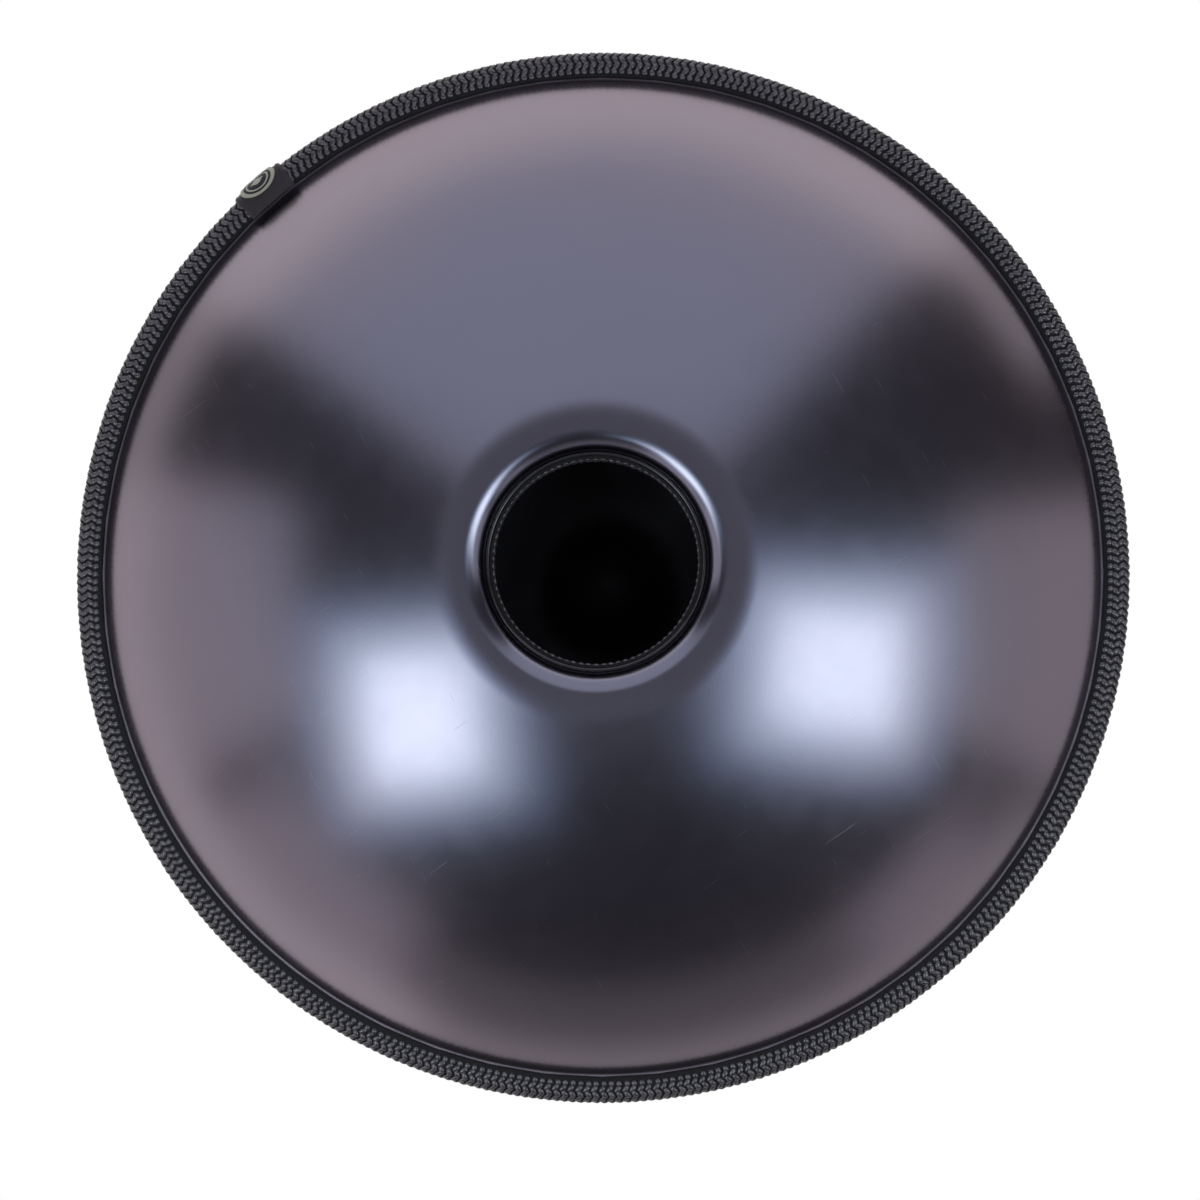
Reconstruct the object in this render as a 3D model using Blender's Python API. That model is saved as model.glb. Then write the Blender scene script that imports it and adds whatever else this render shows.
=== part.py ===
"""A handpan: two formed steel shells glued at their flanges, with a braided trim.

It stands as it is played, on the rounded lip of the port in its bottom shell, with the ding on top.
The origin is the middle of that lip's contact ring, on the surface it rests on. Metres, +Z up.
"""

import math

import bmesh
import bpy

# Facets of a full turn. Every ring starts on +X, so that neighbouring rings have parallel facets.
SEGMENTS = 56

# Between two pieces that touch.
GAP = 0.0003

# Steel shells
STEEL = 0.0012
DOME_RADIUS = 0.2640
BOTTOM_DEPTH = 0.100
TOP_DEPTH = 0.116
SHOULDER_POWER = 8
SHOULDER_SHARE = 0.15
ROOT_FILLET = 0.0018
FLANGE_WIDTH = 0.0104
FLANGE_BOND = 0.0006

# Port in the bottom shell
PORT_RADIUS = 0.0568
LIP_ROLL = 0.013
REST_WIDTH = 0.002
LIP_BLEND = 0.013
NECK_STRAIGHT = 0.009

# Top shell: the ding in the middle, and the tone fields in a ring around it
DING_FIELD_RADIUS = 0.095
DING_FLATTENING = 0.003
DING_DOME_RADIUS = 0.042
DING_DOME_HEIGHT = 0.013
DING_EDGE = 1.5
FIELD_COUNT = 8
FIELD_RING_RADIUS = 0.179
LARGEST_FIELD_LENGTH = 0.140
FIELD_LENGTH_STEP = 0.0055
FIELD_ASPECT = 0.78
FIELD_FLATTENING = 0.0035
FIELD_EDGE = 1.4
DIMPLE_SHARE = 0.44
DIMPLE_DEPTH = 0.0042
DIMPLE_EDGE = 1.5

# Braided trim, folded as a U over an edge
ADHESIVE = 0.0005
BRAID = 0.0026
BRAID_NOSE = 0.003
BRAID_SETBACK = 0.0004
BRAID_LEG_ROUND = 0.0008
PORT_BRAID = 0.0034
PORT_BRAID_CROWN = 0.0032
PORT_BRAID_LEG = 0.010
BRAID_JOINT_GAP = 0.0012

# Sleeve over the rim braid's joint, and the badge on the sleeve
SLEEVE_ANGLE = math.radians(228.8)
SLEEVE_LENGTH = 0.031
SLEEVE_WALL = 0.0012
SLEEVE_OVERHANG = 0.0007
BADGE_LENGTH = 0.023
BADGE_HEIGHT = 0.0146
BADGE_THICKNESS = 0.0009
BADGE_TURN = math.radians(40)


def arc(centre_r, centre_z, radius, start, end, steps):
    """Points on an arc in a section. Angles are in degrees from outward, turning towards +Z."""
    points = []
    for i in range(steps + 1):
        a = math.radians(start + (end - start) * i / steps)
        points.append((centre_r + radius * math.cos(a), centre_z + radius * math.sin(a)))
    return points


def spaced(start, end, steps):
    """Evenly spaced values, with both ends."""
    return [start + (end - start) * i / steps for i in range(steps + 1)]


def shifted(points, distance):
    """The section line moved sideways to its left by distance, which is the other face of a sheet."""
    moved = []
    for i, (r, z) in enumerate(points):
        before = points[max(i - 1, 0)]
        after = points[min(i + 1, len(points) - 1)]
        first = (r - before[0], z - before[1])
        second = (after[0] - r, after[1] - z)
        lengths = [math.hypot(*first) or 1.0, math.hypot(*second) or 1.0]
        along_r = first[0] / lengths[0] + second[0] / lengths[1]
        along_z = first[1] / lengths[0] + second[1] / lengths[1]
        size = math.hypot(along_r, along_z)
        side = (-along_z / size, along_r / size)
        # At a bend the mitre is longer than the sheet is thick.
        reach = distance / max(size / 2, 0.5) if 0 < i < len(points) - 1 else distance
        moved.append((r + side[0] * reach, z + side[1] * reach))
    return moved


def material(name, colour, roughness, metallic):
    made = bpy.data.materials.new(name)
    made.use_nodes = True
    shader = made.node_tree.nodes["Principled BSDF"]
    shader.inputs["Base Color"].default_value = (*colour, 1.0)
    shader.inputs["Roughness"].default_value = roughness
    shader.inputs["Metallic"].default_value = metallic
    return made


def finish(name, mesh_builder, finish_material):
    """One named object from a bmesh, with its faces turned outward and its round sides smooth."""
    bmesh.ops.recalc_face_normals(mesh_builder, faces=mesh_builder.faces)
    mesh = bpy.data.meshes.new(name)
    mesh_builder.to_mesh(mesh)
    mesh_builder.free()
    mesh.shade_smooth()
    mesh.set_sharp_from_angle(angle=math.radians(35))
    mesh.materials.append(finish_material)
    made = bpy.data.objects.new(name, mesh)
    bpy.context.scene.collection.objects.link(made)
    return made


def turned(name, section, finish_material, angles=None, lift=None):
    """Turns a closed section about Z. With angles it is an open ring with flat ends.

    lift is added to the height of each point, by its x and y. A point on the axis is one vertex.
    """
    full = angles is None
    if full:
        angles = [2 * math.pi * i / SEGMENTS for i in range(SEGMENTS)]
    builder = bmesh.new()
    rows = []
    for r, z in section:
        if r < 1e-9:
            rise = lift(0.0, 0.0) if lift else 0.0
            rows.append([builder.verts.new((0.0, 0.0, z + rise))] * len(angles))
            continue
        row = []
        for a in angles:
            x = r * math.cos(a)
            y = r * math.sin(a)
            rise = lift(x, y) if lift else 0.0
            row.append(builder.verts.new((x, y, z + rise)))
        rows.append(row)
    count = len(angles)
    spans = count if full else count - 1
    for i, row in enumerate(rows):
        after = rows[(i + 1) % len(rows)]
        for j in range(spans):
            k = (j + 1) % count
            corners = []
            for vertex in (row[j], row[k], after[k], after[j]):
                if vertex not in corners:
                    corners.append(vertex)
            if len(corners) > 2:
                builder.faces.new(corners)
    if not full:
        builder.faces.new([row[0] for row in rows])
        builder.faces.new([row[-1] for row in rows])
    return finish(name, builder, finish_material)


# Meridian of a dome: a shallow bowl in the middle and a tighter shoulder near its root.


def dome_rise(r):
    """Height of the dome's meridian over its middle, as a share of its depth."""
    u = r / DOME_RADIUS
    return (u**2 + SHOULDER_SHARE * u**SHOULDER_POWER) / (1 + SHOULDER_SHARE)


def dome_slope(r, depth):
    u = r / DOME_RADIUS
    bend = 2 * u + SHOULDER_POWER * SHOULDER_SHARE * u ** (SHOULDER_POWER - 1)
    return depth / DOME_RADIUS * bend / (1 + SHOULDER_SHARE)


def flange_inner_radius(depth):
    """Where the fillet at a dome's root has become the flat flange."""
    return DOME_RADIUS + ROOT_FILLET * math.sin(math.atan(dome_slope(DOME_RADIUS, depth)))


def fillet_rise(depth):
    """How far the fillet rises from the dome's root to the flange."""
    return ROOT_FILLET * (1 - math.cos(math.atan(dome_slope(DOME_RADIUS, depth))))


# Heights, from the rest ring up
CREST_RADIUS = PORT_RADIUS + LIP_ROLL
NECK_HEIGHT = LIP_ROLL + NECK_STRAIGHT
BLEND_START = CREST_RADIUS + REST_WIDTH
BLEND_END = BLEND_START + LIP_BLEND
BLEND_SLOPE = dome_slope(BLEND_END, BOTTOM_DEPTH)
BOTTOM_MIDDLE_Z = BLEND_SLOPE * LIP_BLEND / 2 - BOTTOM_DEPTH * dome_rise(BLEND_END)
BOTTOM_FLANGE_Z = BOTTOM_MIDDLE_Z + BOTTOM_DEPTH + fillet_rise(BOTTOM_DEPTH)
BOND_Z = BOTTOM_FLANGE_Z + STEEL + GAP
TOP_FLANGE_Z = BOND_Z + FLANGE_BOND + GAP
FLANGE_HALF = (TOP_FLANGE_Z + STEEL - BOTTOM_FLANGE_Z) / 2
FLANGE_MID_Z = BOTTOM_FLANGE_Z + FLANGE_HALF

FLAT_START = max(flange_inner_radius(BOTTOM_DEPTH), flange_inner_radius(TOP_DEPTH))
FLANGE_RADIUS = FLAT_START + FLANGE_WIDTH

# Rim trim, outward from the flange
TRIM_INNER_RADIUS = FLAT_START + BRAID_SETBACK
ADHESIVE_INSIDE = FLANGE_HALF + GAP
BRAID_INSIDE = ADHESIVE_INSIDE + ADHESIVE + GAP
BRAID_HALF = BRAID_INSIDE + BRAID
BRAID_INSIDE_RADIUS = FLANGE_RADIUS + GAP + ADHESIVE + GAP
RIM_RADIUS = BRAID_INSIDE_RADIUS + BRAID_NOSE
NOSE_RADIUS = RIM_RADIUS - BRAID_HALF

# Port trim, inward and outward from the neck's wall
NECK_MID_RADIUS = PORT_RADIUS + STEEL / 2
PORT_ADHESIVE_INSIDE = STEEL / 2 + GAP
PORT_BRAID_INSIDE = PORT_ADHESIVE_INSIDE + ADHESIVE + GAP
PORT_BRAID_HALF = PORT_BRAID_INSIDE + PORT_BRAID


def field_places():
    """Each tone field's angle and length. They shrink from the one nearest the player, side by side."""
    places = []
    for i in range(FIELD_COUNT):
        side = 1 if i % 2 else -1
        turn = side * ((i + 1) // 2) * 2 * math.pi / FIELD_COUNT
        places.append((-math.pi / 2 + turn, LARGEST_FIELD_LENGTH - i * FIELD_LENGTH_STEP))
    return places


def bump(distance, softness):
    """1 in the middle and 0 at 1 and beyond. A higher softness gives a softer edge."""
    return (1 - distance**2) ** softness if distance < 1 else 0.0


def top_relief(x, y):
    """Height that the ding and the tone fields add to the top dome."""
    r = math.hypot(x, y)
    relief = DING_DOME_HEIGHT * bump(r / DING_DOME_RADIUS, DING_EDGE)
    relief -= DING_FLATTENING * bump(r / DING_FIELD_RADIUS, FIELD_EDGE)
    for angle, length in field_places():
        along = (x * math.cos(angle) + y * math.sin(angle) - FIELD_RING_RADIUS) / (length / 2)
        across = (y * math.cos(angle) - x * math.sin(angle)) / (length * FIELD_ASPECT / 2)
        distance = math.hypot(along, across)
        relief -= FIELD_FLATTENING * bump(distance, FIELD_EDGE)
        relief -= DIMPLE_DEPTH * bump(distance / DIMPLE_SHARE, DIMPLE_EDGE)
    return relief


def sheet_section(face, inward):
    """A closed section from the visible face of a sheet and the face one thickness behind it."""
    return face + shifted(face, inward)[::-1]


def make_bottom_shell(steel):
    face = [(PORT_RADIUS, NECK_HEIGHT)]
    face += arc(CREST_RADIUS, LIP_ROLL, LIP_ROLL, 180, 270, 6)
    face.append((BLEND_START, 0.0))
    for r in spaced(BLEND_START, BLEND_END, 3)[1:]:
        face.append((r, BLEND_SLOPE / LIP_BLEND * (r - BLEND_START) ** 2 / 2))
    for r in spaced(BLEND_END, DOME_RADIUS, 9)[1:]:
        face.append((r, BOTTOM_MIDDLE_Z + BOTTOM_DEPTH * dome_rise(r)))
    tilt = math.degrees(math.atan(dome_slope(DOME_RADIUS, BOTTOM_DEPTH)))
    fillet_r = flange_inner_radius(BOTTOM_DEPTH)
    face += arc(fillet_r, BOTTOM_FLANGE_Z - ROOT_FILLET, ROOT_FILLET, 90 + tilt, 90, 2)[1:]
    face.append((FLANGE_RADIUS, BOTTOM_FLANGE_Z))
    return turned("bottom_shell", sheet_section(face, STEEL), steel)


def make_top_shell(steel):
    top_z = TOP_FLANGE_Z + STEEL
    root_z = top_z + fillet_rise(TOP_DEPTH)
    tilt = math.degrees(math.atan(dome_slope(DOME_RADIUS, TOP_DEPTH)))
    fillet_r = flange_inner_radius(TOP_DEPTH)
    face = [(FLANGE_RADIUS, top_z)]
    face += arc(fillet_r, top_z + ROOT_FILLET, ROOT_FILLET, 270, 270 - tilt, 2)
    radii = spaced(DOME_RADIUS, DING_DOME_RADIUS, 14) + spaced(DING_DOME_RADIUS, 0.0, 4)[1:]
    for r in radii[1:]:
        face.append((r, root_z + TOP_DEPTH * (1 - dome_rise(r))))
    return turned("top_shell", sheet_section(face, STEEL), steel, lift=top_relief)


def make_flange_bond(glue):
    section = [
        (FLAT_START, BOND_Z),
        (FLANGE_RADIUS, BOND_Z),
        (FLANGE_RADIUS, BOND_Z + FLANGE_BOND),
        (FLAT_START, BOND_Z + FLANGE_BOND),
    ]
    return turned("flange_bond", section, glue)


def make_rim_trim_adhesive(glue):
    """A thin square U over both flanges."""
    outside = ADHESIVE_INSIDE + ADHESIVE
    end = FLANGE_RADIUS + GAP
    heights = [
        (TRIM_INNER_RADIUS, -outside),
        (end + ADHESIVE, -outside),
        (end + ADHESIVE, outside),
        (TRIM_INNER_RADIUS, outside),
        (TRIM_INNER_RADIUS, ADHESIVE_INSIDE),
        (end, ADHESIVE_INSIDE),
        (end, -ADHESIVE_INSIDE),
        (TRIM_INNER_RADIUS, -ADHESIVE_INSIDE),
    ]
    return turned("rim_trim_adhesive", [(r, FLANGE_MID_Z + z) for r, z in heights], glue)


def rim_u_section(inside_half, inside_end, outside_half, leg_end, corner):
    """A U that opens inward, with a round nose of radius outside_half."""
    nose_r = NOSE_RADIUS
    half = [(leg_end, inside_half + corner), (leg_end, outside_half - corner)]
    half.append((leg_end + corner, outside_half))
    half += arc(nose_r, 0.0, outside_half, 90, 0, 4)
    outside = half + [(r, -z) for r, z in half[-2::-1]]
    leg_tip = leg_end + corner
    inside = [(leg_tip, -inside_half), (inside_end, -inside_half)]
    inside += [(inside_end, inside_half), (leg_tip, inside_half)]
    return [(r, FLANGE_MID_Z + z) for r, z in outside + inside]


def open_ring_angles(missing):
    """The ring's own facet angles, less those in a gap of this length at the sleeve, and its two ends."""
    half = missing / 2 / RIM_RADIUS
    start = SLEEVE_ANGLE + half
    end = SLEEVE_ANGLE - half + 2 * math.pi
    step = 2 * math.pi / SEGMENTS
    inner = [step * i for i in range(2 * SEGMENTS) if start + step / 5 < step * i < end - step / 5]
    return [start, *inner, end]


def make_rim_braid(braid):
    section = rim_u_section(
        BRAID_INSIDE, BRAID_INSIDE_RADIUS, BRAID_HALF, TRIM_INNER_RADIUS, BRAID_LEG_ROUND
    )
    return turned("rim_braid", section, braid, angles=open_ring_angles(BRAID_JOINT_GAP))


def make_trim_sleeve(rubber):
    """A short U tube over the braid's joint. Its inside follows the braid's round nose."""
    inside = BRAID_HALF + GAP
    outside = inside + SLEEVE_WALL
    leg_end = TRIM_INNER_RADIUS - SLEEVE_OVERHANG
    section = [(leg_end, outside)]
    section += arc(NOSE_RADIUS, 0.0, outside, 90, -90, 8)
    section.append((leg_end, -outside))
    section.append((leg_end, -inside))
    section += arc(NOSE_RADIUS, 0.0, inside, -90, 90, 8)
    section.append((leg_end, inside))
    half = SLEEVE_LENGTH / 2 / RIM_RADIUS
    angles = spaced(SLEEVE_ANGLE - half, SLEEVE_ANGLE + half, 6)
    return turned("trim_sleeve", [(r, FLANGE_MID_Z + z) for r, z in section], rubber, angles)


def make_badge(enamel):
    """A thin oval plate wrapped over the lower outer side of the sleeve."""
    under = BRAID_HALF + GAP + SLEEVE_WALL + GAP
    rings = 4
    spokes = 24
    builder = bmesh.new()
    sides = []
    for level in (under, under + BADGE_THICKNESS):
        rows = []
        for i in range(rings + 1):
            row = []
            for j in range(spokes if i else 1):
                a = 2 * math.pi * j / spokes
                along = BADGE_LENGTH / 2 * i / rings * math.cos(a)
                across = BADGE_HEIGHT / 2 * i / rings * math.sin(a)
                turn = BADGE_TURN + across / (under + BADGE_THICKNESS / 2)
                r = NOSE_RADIUS + level * math.sin(turn)
                z = FLANGE_MID_Z - level * math.cos(turn)
                angle = SLEEVE_ANGLE + along / (NOSE_RADIUS + under)
                row.append(builder.verts.new((r * math.cos(angle), r * math.sin(angle), z)))
            rows.append(row if i else row * spokes)
        sides.append(rows)
    for rows in sides:
        for i in range(rings):
            for j in range(spokes):
                k = (j + 1) % spokes
                corners = [rows[i][j], rows[i + 1][j], rows[i + 1][k]]
                if i:
                    corners.append(rows[i][k])
                builder.faces.new(corners)
    lower, upper = sides[0][-1], sides[1][-1]
    for j in range(spokes):
        k = (j + 1) % spokes
        builder.faces.new([lower[j], lower[k], upper[k], upper[j]])
    return finish("badge", builder, enamel)


def make_port_trim_adhesive(glue):
    """A thin square U over the neck's upper end."""
    inside = PORT_ADHESIVE_INSIDE
    outside = inside + ADHESIVE
    foot = NECK_HEIGHT - PORT_BRAID_LEG
    top = NECK_HEIGHT + GAP
    widths = [
        (-outside, foot),
        (-inside, foot),
        (-inside, top),
        (inside, top),
        (inside, foot),
        (outside, foot),
        (outside, top + ADHESIVE),
        (-outside, top + ADHESIVE),
    ]
    return turned("port_trim_adhesive", [(NECK_MID_RADIUS + w, z) for w, z in widths], glue)


def make_port_braid(braid):
    """The same braid over the neck's end, with a round upper edge."""
    inside = PORT_BRAID_INSIDE
    outside = PORT_BRAID_HALF
    corner = BRAID_LEG_ROUND
    foot = NECK_HEIGHT - PORT_BRAID_LEG
    shoulder = NECK_HEIGHT + GAP + ADHESIVE + GAP
    crown = shoulder + PORT_BRAID_CROWN
    right = [(inside, shoulder), (inside, foot + corner), (inside + corner, foot)]
    right += [(outside - corner, foot), (outside, foot + corner)]
    right += arc(0.0, crown - outside, outside, 0, 90, 4)
    widths = right + [(-w, z) for w, z in right[-2::-1]]
    return turned("port_braid", [(NECK_MID_RADIUS + w, z) for w, z in widths], braid)


def main():
    for old in list(bpy.data.objects):
        bpy.data.objects.remove(old)
    steel = material("nitrided_steel", (0.045, 0.042, 0.056), 0.3, 1.0)
    braid = material("black_braid", (0.012, 0.012, 0.013), 0.35, 0.0)
    rubber = material("sleeve_rubber", (0.03, 0.028, 0.029), 0.5, 0.0)
    enamel = material("badge_enamel", (0.62, 0.66, 0.50), 0.4, 0.0)
    glue = material("cured_glue", (0.02, 0.02, 0.02), 0.3, 0.0)
    make_bottom_shell(steel)
    make_top_shell(steel)
    make_flange_bond(glue)
    make_rim_trim_adhesive(glue)
    make_rim_braid(braid)
    make_trim_sleeve(rubber)
    make_badge(enamel)
    make_port_trim_adhesive(glue)
    make_port_braid(braid)


main()
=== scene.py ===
"""A handpan seen from below: satin nitrided steel, plaited black trim, studio light.

The shells, the plaited trims, the port's glue, the sleeve and the badge are rebuilt finely from the
CAD frame's sizes. The flange bond and the rim's glue layer are the CAD solids themselves.
"""

import math
import random

import bpy
import numpy as np
from mathutils import Matrix, Vector


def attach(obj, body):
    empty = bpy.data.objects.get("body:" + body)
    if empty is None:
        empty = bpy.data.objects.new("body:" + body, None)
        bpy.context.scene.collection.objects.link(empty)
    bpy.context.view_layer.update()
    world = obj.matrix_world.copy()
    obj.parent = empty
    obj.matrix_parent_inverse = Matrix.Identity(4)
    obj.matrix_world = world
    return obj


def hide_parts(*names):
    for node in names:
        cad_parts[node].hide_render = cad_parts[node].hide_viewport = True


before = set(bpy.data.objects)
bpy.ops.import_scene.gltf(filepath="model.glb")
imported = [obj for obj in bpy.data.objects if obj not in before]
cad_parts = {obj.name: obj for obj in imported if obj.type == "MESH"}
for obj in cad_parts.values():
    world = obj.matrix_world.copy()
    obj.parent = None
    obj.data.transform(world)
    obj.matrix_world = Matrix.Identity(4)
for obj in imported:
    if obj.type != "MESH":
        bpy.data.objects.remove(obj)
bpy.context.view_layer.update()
ROOT = "root"

# Sizes of the part, in metres
GAP = 0.0003
STEEL = 0.0012
DOME_RADIUS = 0.2640
BOTTOM_DEPTH = 0.100
TOP_DEPTH = 0.116
SHOULDER_POWER = 8
SHOULDER_SHARE = 0.15
ROOT_FILLET = 0.0018
FLANGE_WIDTH = 0.0104
FLANGE_BOND = 0.0006
PORT_RADIUS = 0.0568
LIP_ROLL = 0.013
REST_WIDTH = 0.002
LIP_BLEND = 0.013
NECK_STRAIGHT = 0.009
DING_FIELD_RADIUS = 0.095
DING_FLATTENING = 0.003
DING_DOME_RADIUS = 0.042
DING_DOME_HEIGHT = 0.013
DING_EDGE = 1.5
FIELD_COUNT = 8
FIELD_RING_RADIUS = 0.179
LARGEST_FIELD_LENGTH = 0.140
FIELD_LENGTH_STEP = 0.0055
FIELD_ASPECT = 0.78
FIELD_FLATTENING = 0.0035
FIELD_EDGE = 1.4
DIMPLE_SHARE = 0.44
DIMPLE_DEPTH = 0.0042
DIMPLE_EDGE = 1.5
ADHESIVE = 0.0005
BRAID = 0.0026
BRAID_NOSE = 0.003
BRAID_SETBACK = 0.0004
PORT_BRAID = 0.0034
PORT_BRAID_CROWN = 0.0032
PORT_BRAID_LEG = 0.010
BRAID_JOINT_GAP = 0.0012
SLEEVE_ANGLE = math.radians(228.8)
SLEEVE_LENGTH = 0.031
SLEEVE_WALL = 0.0012
SLEEVE_OVERHANG = 0.0007
BADGE_LENGTH = 0.023
BADGE_HEIGHT = 0.0146
BADGE_THICKNESS = 0.0009
BADGE_TURN = math.radians(40)

# Sizes of what is added here
STRAND_PITCH = 0.0042
COLUMN_WIDTH = 0.0033
STRAND_HEIGHT = 0.00092
EDGE_STRAND_HEIGHT = 0.00105
BED_DEPTH = 0.00105
BED_SETBACK = 0.0001
BED_CORNER = 0.0004
BARE_EDGE = 0.0017
PORT_BED_SETBACK = 0.0006
PORT_STRAND_SETBACK = 0.0003
BEAD_RADIUS = 0.0010
BEAD_CENTRE = 0.0015
BEAD_TUCK = 0.0004
BADGE_RIM_RISE = 0.00022


# ---------------------------------------------------------------- sections


def arc(centre_r, centre_z, radius, start, end, steps):
    """Points on an arc in a section. Angles are in degrees from outward, turning towards +Z."""
    angles = [math.radians(start + (end - start) * i / steps) for i in range(steps + 1)]
    return [(centre_r + radius * math.cos(a), centre_z + radius * math.sin(a)) for a in angles]


def spaced(start, end, steps):
    return [start + (end - start) * i / steps for i in range(steps + 1)]


def shifted(points, distance):
    """The section line moved to its left by distance."""
    line = np.array(points)
    step = np.diff(line, axis=0)
    step /= np.maximum(np.linalg.norm(step, axis=1, keepdims=True), 1e-12)
    along = np.vstack([step[:1], step[:-1] + step[1:], step[-1:]])
    along /= np.linalg.norm(along, axis=1, keepdims=True)
    side = np.stack([-along[:, 1], along[:, 0]], 1)
    return [tuple(p) for p in line + side * distance]


def dome_rise(r):
    u = r / DOME_RADIUS
    return (u**2 + SHOULDER_SHARE * u**SHOULDER_POWER) / (1 + SHOULDER_SHARE)


def dome_slope(r, depth):
    u = r / DOME_RADIUS
    bend = 2 * u + SHOULDER_POWER * SHOULDER_SHARE * u ** (SHOULDER_POWER - 1)
    return depth / DOME_RADIUS * bend / (1 + SHOULDER_SHARE)


def root_tilt(depth):
    return math.atan(dome_slope(DOME_RADIUS, depth))


CREST_RADIUS = PORT_RADIUS + LIP_ROLL
NECK_HEIGHT = LIP_ROLL + NECK_STRAIGHT
BLEND_START = CREST_RADIUS + REST_WIDTH
BLEND_END = BLEND_START + LIP_BLEND
BLEND_SLOPE = dome_slope(BLEND_END, BOTTOM_DEPTH)
BOTTOM_MIDDLE_Z = BLEND_SLOPE * LIP_BLEND / 2 - BOTTOM_DEPTH * dome_rise(BLEND_END)
BOTTOM_ROOT_RISE = ROOT_FILLET * (1 - math.cos(root_tilt(BOTTOM_DEPTH)))
TOP_ROOT_RISE = ROOT_FILLET * (1 - math.cos(root_tilt(TOP_DEPTH)))
BOTTOM_FLANGE_Z = BOTTOM_MIDDLE_Z + BOTTOM_DEPTH + BOTTOM_ROOT_RISE
TOP_FLANGE_Z = BOTTOM_FLANGE_Z + STEEL + GAP + FLANGE_BOND + GAP
FLANGE_HALF = (TOP_FLANGE_Z + STEEL - BOTTOM_FLANGE_Z) / 2
FLANGE_MID_Z = BOTTOM_FLANGE_Z + FLANGE_HALF
BOTTOM_FILLET_R = DOME_RADIUS + ROOT_FILLET * math.sin(root_tilt(BOTTOM_DEPTH))
TOP_FILLET_R = DOME_RADIUS + ROOT_FILLET * math.sin(root_tilt(TOP_DEPTH))
FLAT_START = max(BOTTOM_FILLET_R, TOP_FILLET_R)
FLANGE_RADIUS = FLAT_START + FLANGE_WIDTH
TRIM_INNER_RADIUS = FLAT_START + BRAID_SETBACK
BRAID_INSIDE = FLANGE_HALF + GAP + ADHESIVE + GAP
BRAID_HALF = BRAID_INSIDE + BRAID
BRAID_INSIDE_RADIUS = FLANGE_RADIUS + GAP + ADHESIVE + GAP
RIM_RADIUS = BRAID_INSIDE_RADIUS + BRAID_NOSE
NOSE_RADIUS = RIM_RADIUS - BRAID_HALF
NECK_MID_RADIUS = PORT_RADIUS + STEEL / 2
PORT_ADHESIVE_INSIDE = STEEL / 2 + GAP
PORT_BRAID_INSIDE = PORT_ADHESIVE_INSIDE + ADHESIVE + GAP
PORT_BRAID_HALF = PORT_BRAID_INSIDE + PORT_BRAID
PORT_FOOT_Z = NECK_HEIGHT - PORT_BRAID_LEG
PORT_CROWN_Z = NECK_HEIGHT + GAP + ADHESIVE + GAP + PORT_BRAID_CROWN


# ---------------------------------------------------------------- meshes


def add_mesh(name, points, faces, materials, sharp, face_material=None):
    mesh = bpy.data.meshes.new(name)
    mesh.from_pydata([tuple(p) for p in points], [], faces)
    mesh.validate()
    for each in materials:
        mesh.materials.append(each)
    if face_material is not None:
        mesh.polygons.foreach_set("material_index", face_material)
    mesh.shade_smooth()
    if sharp:
        mesh.set_sharp_from_angle(angle=math.radians(sharp))
    made = bpy.data.objects.new(name, mesh)
    bpy.context.scene.collection.objects.link(made)
    return made


def finish_piece(piece, slot, *nodes):
    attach(piece, ROOT)
    if nodes:
        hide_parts(*nodes)
    return piece


def lathe(section, count, lift=None):
    """Points and faces of a closed section turned about Z. It runs so that its outside faces out."""
    angles = np.arange(count) * 2 * math.pi / count
    ring = np.stack([np.cos(angles), np.sin(angles)], 1)
    points = []
    starts = []
    for r, z in section:
        starts.append(len(points))
        if r < 1e-9:
            points.append((0.0, 0.0, z + (lift(0.0, 0.0) if lift else 0.0)))
            continue
        for c, s in ring:
            x, y = r * c, r * s
            points.append((x, y, z + (lift(x, y) if lift else 0.0)))
    faces = []
    for i, (r, _) in enumerate(section):
        k = (i + 1) % len(section)
        next_r = section[k][0]
        for j in range(count):
            j2 = (j + 1) % count
            if r < 1e-9 and next_r < 1e-9:
                break
            if r < 1e-9:
                faces.append((starts[i], starts[k] + j2, starts[k] + j))
            elif next_r < 1e-9:
                faces.append((starts[i] + j, starts[i] + j2, starts[k]))
            else:
                faces.append((starts[i] + j, starts[i] + j2, starts[k] + j2, starts[k] + j))
    return points, faces


def bump(distance, softness):
    return (1 - distance * distance) ** softness if distance < 1 else 0.0


def field_places():
    places = []
    for i in range(FIELD_COUNT):
        side = 1 if i % 2 else -1
        turn = side * ((i + 1) // 2) * 2 * math.pi / FIELD_COUNT
        angle = -math.pi / 2 + turn
        length = LARGEST_FIELD_LENGTH - i * FIELD_LENGTH_STEP
        places.append((math.cos(angle), math.sin(angle), length))
    return places


FIELDS = field_places()


def top_relief(x, y):
    """Height that the ding and the tone fields add to the top dome."""
    r = math.hypot(x, y)
    relief = DING_DOME_HEIGHT * bump(r / DING_DOME_RADIUS, DING_EDGE)
    relief -= DING_FLATTENING * bump(r / DING_FIELD_RADIUS, FIELD_EDGE)
    for c, s, length in FIELDS:
        along = (x * c + y * s - FIELD_RING_RADIUS) / (length / 2)
        across = (y * c - x * s) / (length * FIELD_ASPECT / 2)
        distance = math.hypot(along, across)
        if distance < 1:
            relief -= FIELD_FLATTENING * bump(distance, FIELD_EDGE)
            relief -= DIMPLE_DEPTH * bump(distance / DIMPLE_SHARE, DIMPLE_EDGE)
    return relief


# ---------------------------------------------------------------- node helpers


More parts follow.
